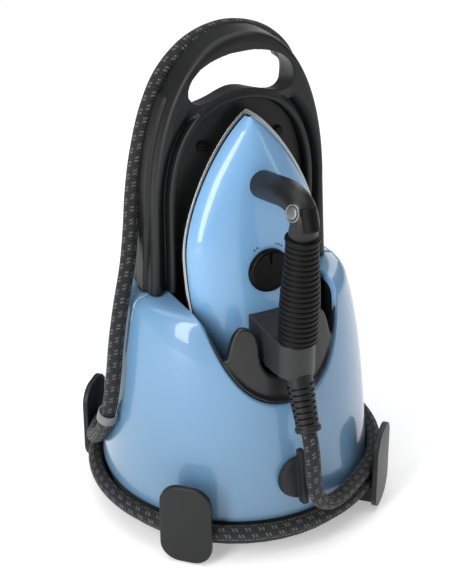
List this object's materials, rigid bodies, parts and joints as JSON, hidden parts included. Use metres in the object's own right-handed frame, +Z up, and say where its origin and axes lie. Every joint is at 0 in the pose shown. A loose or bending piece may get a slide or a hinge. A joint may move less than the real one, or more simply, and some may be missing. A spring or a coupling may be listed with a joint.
{
  "type": "steam generator clothes iron",
  "caption": "Blue clothes iron standing in its steam station: conical shell with a scooped cradle, black carrying arch, sprung steam trigger, braided hose wound round corner hooks",
  "frame": {"origin": "middle of the footprint at floor level", "axes": "Z up, -Y towards the user, where the iron's handle and the drain cap are; X to the user's right"},
  "size_m": [0.2648, 0.2915, 0.4293],
  "materials": {
    "shell_blue": "high gloss light blue",
    "black_matte": "fine matte black",
    "black_satin": "satin black",
    "rubber_black": "soft black rubber",
    "polished_steel": "polished",
    "steel": "drawn sheet steel",
    "cast_aluminium": "as cast",
    "tank_smoke": "smoke grey, glossy",
    "board_green": "solder mask",
    "lens_clear": "clear lens",
    "hose_braid": "black braid with light grey flecks",
    "clip_grey": "mid grey"
  },
  "bodies": {
    "base": {"outer_shell": "shell_blue", "base_pan": "black_matte", "pump": "black_matte", "boiler_thermostat": "black_matte", "steam_valve": "black_matte", "cradle_liner": "black_satin", "stand_arch": "black_satin", "arch_brace": "black_satin", "hose_saddle": "black_satin", "rest_plate": "black_satin", "hose_inlet": "black_satin", "mains_inlet": "black_satin", "cord_hook_front_left": "black_satin", "cord_hook_front_right": "black_satin", "cord_hook_rear_right": "black_satin", "cord_hook_rear_left": "black_satin", "rest_pad_left": "rubber_black", "rest_pad_right": "rubber_black", "rubber_foot_front_left": "rubber_black", "rubber_foot_front_right": "rubber_black", "rubber_foot_rear_right": "rubber_black", "rubber_foot_rear_left": "rubber_black", "pan_screw_front": "polished_steel", "pan_screw_right": "polished_steel", "pan_screw_rear": "polished_steel", "pan_screw_left": "polished_steel", "boiler": "steel", "heating_element": "steel", "steam_pipe": "steel", "drain_neck": "cast_aluminium", "control_board": "board_green", "ready_light": "lens_clear", "steam_hose": "hose_braid", "hose_clip": "clip_grey"},
    "iron": {"soleplate": "polished_steel", "heat_shield": "black_matte", "iron_cover": "shell_blue", "steam_chamber": "cast_aluminium", "iron_thermostat": "steel", "handle_stem": "black_satin", "hand_grip": "rubber_black", "handle_cap": "polished_steel", "rear_bracket": "black_satin", "strain_relief": "black_satin"},
    "dial": {"temperature_dial": "black_matte"},
    "steam_trigger": {"steam_button": "rubber_black"},
    "drain_plug": {"drain_cap": "black_matte"},
    "tank": {"water_tank": "tank_smoke", "tank_valve": "black_matte"},
    "filler_lid": {"tank_lid": "black_matte"},
    "switch": {"power_switch": "black_matte"}
  },
  "joints": [
    {"name": "iron_lift", "type": "slide", "parent": "base", "child": "iron", "axis": [0, -0.2588, 0.9659], "range_m": [0, 0.15]},
    {"name": "dial_turn", "type": "hinge", "parent": "iron", "child": "dial", "pos_m": [0, -0.0618, 0.2401], "axis": [0, -0.9962, 0.0872], "range_deg": [-60, 200]},
    {"name": "steam_press", "type": "slide", "parent": "iron", "child": "steam_trigger", "axis": [0, 0.9322, -0.3621], "range_m": [0, 0.002], "stiffness_N_per_m": 900},
    {"name": "drain_turn", "type": "hinge", "parent": "base", "child": "drain_plug", "pos_m": [0, -0.11335, 0.069], "axis": [0, -0.9892, 0.1463], "range_deg": [0, 90]},
    {"name": "tank_slide", "type": "slide", "parent": "base", "child": "tank", "axis": [0, 1, 0], "range_m": [0, 0.11]},
    {"name": "lid_hinge", "type": "hinge", "parent": "tank", "child": "filler_lid", "pos_m": [0, 0.062, 0.2113], "axis": [1, 0, 0], "range_deg": [0, 95]},
    {"name": "switch_rock", "type": "hinge", "parent": "base", "child": "switch", "pos_m": [-0.062, 0.098, 0.066], "axis": [1, 0, 0], "range_deg": [-8, 8]}
  ]
}
